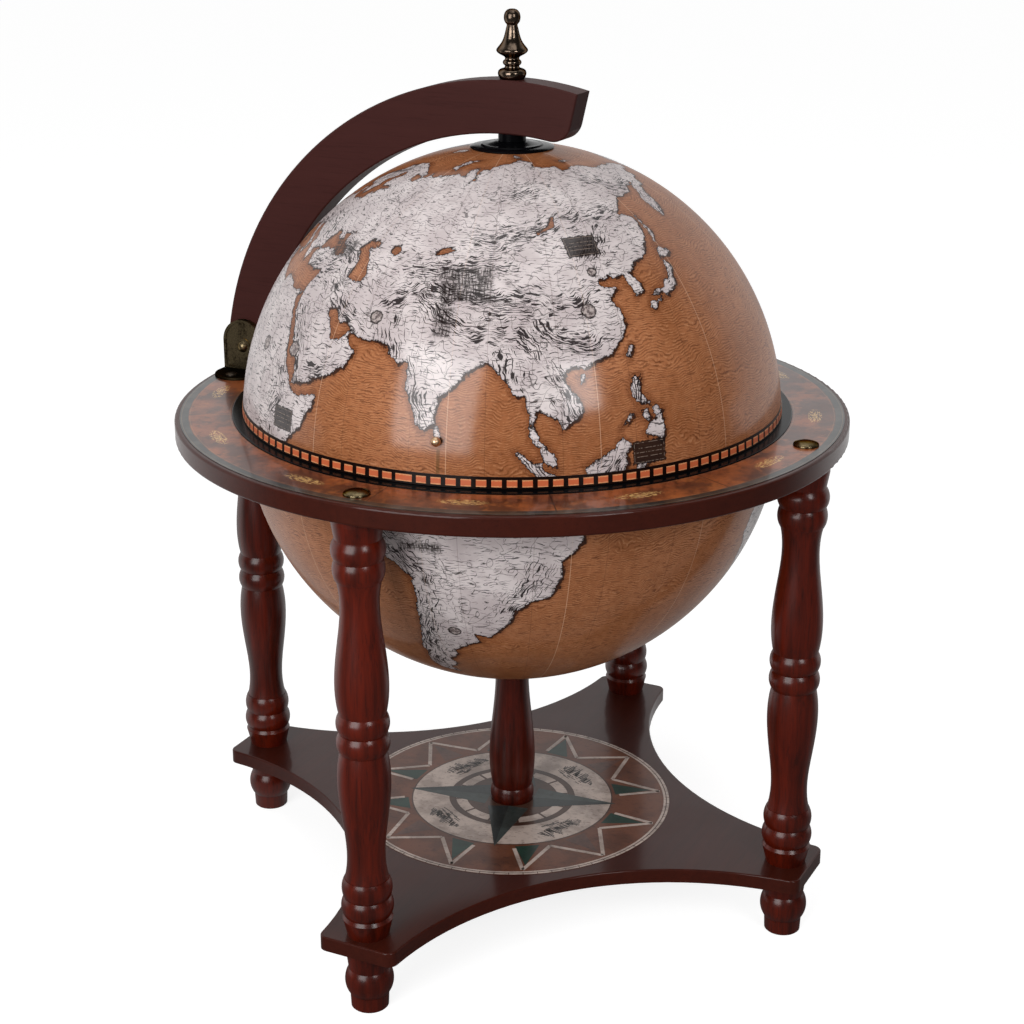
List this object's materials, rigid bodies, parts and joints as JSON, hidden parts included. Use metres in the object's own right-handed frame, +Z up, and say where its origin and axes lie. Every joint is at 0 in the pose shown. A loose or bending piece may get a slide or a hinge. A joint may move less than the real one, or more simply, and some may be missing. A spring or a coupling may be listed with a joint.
{
  "type": "tabletop globe bar",
  "caption": "Tabletop globe bar: a hinged globe on a ring table with turned legs and a shelf; the upper half tilts back on an arm to open a bowl with a drinks tray.",
  "frame": {"origin": "on the floor, under the globe's vertical axis", "axes": "+Z up; +Y towards the hinge at the back; +X to the right as seen from the lid's free side"},
  "size_m": [0.4124, 0.4124, 0.5571],
  "materials": {
    "stained_board": "dark maroon-brown stained board under satin lacquer",
    "turned_wood": "red-brown turned wood under gloss lacquer",
    "globe_print": "antique map print under gloss varnish",
    "horizon_print": "printed paper ring under gloss varnish",
    "compass_print": "printed compass rose under gloss varnish",
    "band_print": "black band with orange blocks, gloss",
    "antique_brass": "antique brass",
    "polished_brass": "polished brass",
    "black_plastic": "gloss black",
    "zinc_steel": "zinc-plated steel",
    "lining_board": "stained tray board, satin"
  },
  "bodies": {
    "stand": {"base_shelf": "stained_board", "compass_print": "compass_print", "leg_right": "turned_wood", "leg_back": "turned_wood", "leg_left": "turned_wood", "leg_front": "turned_wood", "foot_right": "turned_wood", "foot_back": "turned_wood", "foot_left": "turned_wood", "foot_front": "turned_wood", "foot_bolts": "zinc_steel", "leg_bolts": "zinc_steel", "centre_column": "turned_wood", "column_bolt": "zinc_steel", "ring_table": "stained_board", "horizon_print": "horizon_print", "bolt_caps": "antique_brass", "rim_trim": "black_plastic", "lower_bowl": "globe_print", "bowl_washer": "zinc_steel", "bowl_screw": "zinc_steel", "bottle_rest": "lining_board", "tray_ledge": "black_plastic", "drinks_tray": "lining_board", "hinge_bracket": "antique_brass", "hinge_screws": "antique_brass", "hinge_pin": "antique_brass"},
    "arm": {"meridian_arm": "stained_board", "arm_bush": "antique_brass", "pole_rod": "zinc_steel", "finial": "antique_brass", "pole_spacer": "black_plastic", "pole_washer": "zinc_steel", "pole_nut": "zinc_steel"},
    "lid": {"upper_globe": "globe_print", "equator_band": "band_print", "lid_liner": "black_plastic", "pole_bush": "black_plastic", "clamp_nut": "black_plastic", "lid_knob": "polished_brass", "knob_nut": "polished_brass"}
  },
  "joints": [
    {"name": "lid_tilt", "type": "hinge", "parent": "stand", "child": "arm", "pos_m": [0, 0.18799, 0.336], "axis": [-1, 0, 0], "range_deg": [0, 90]},
    {"name": "globe_spin", "type": "hinge", "parent": "arm", "child": "lid", "pos_m": [0, 0, 0.4788], "axis": [0, 0, 1], "continuous": true}
  ]
}
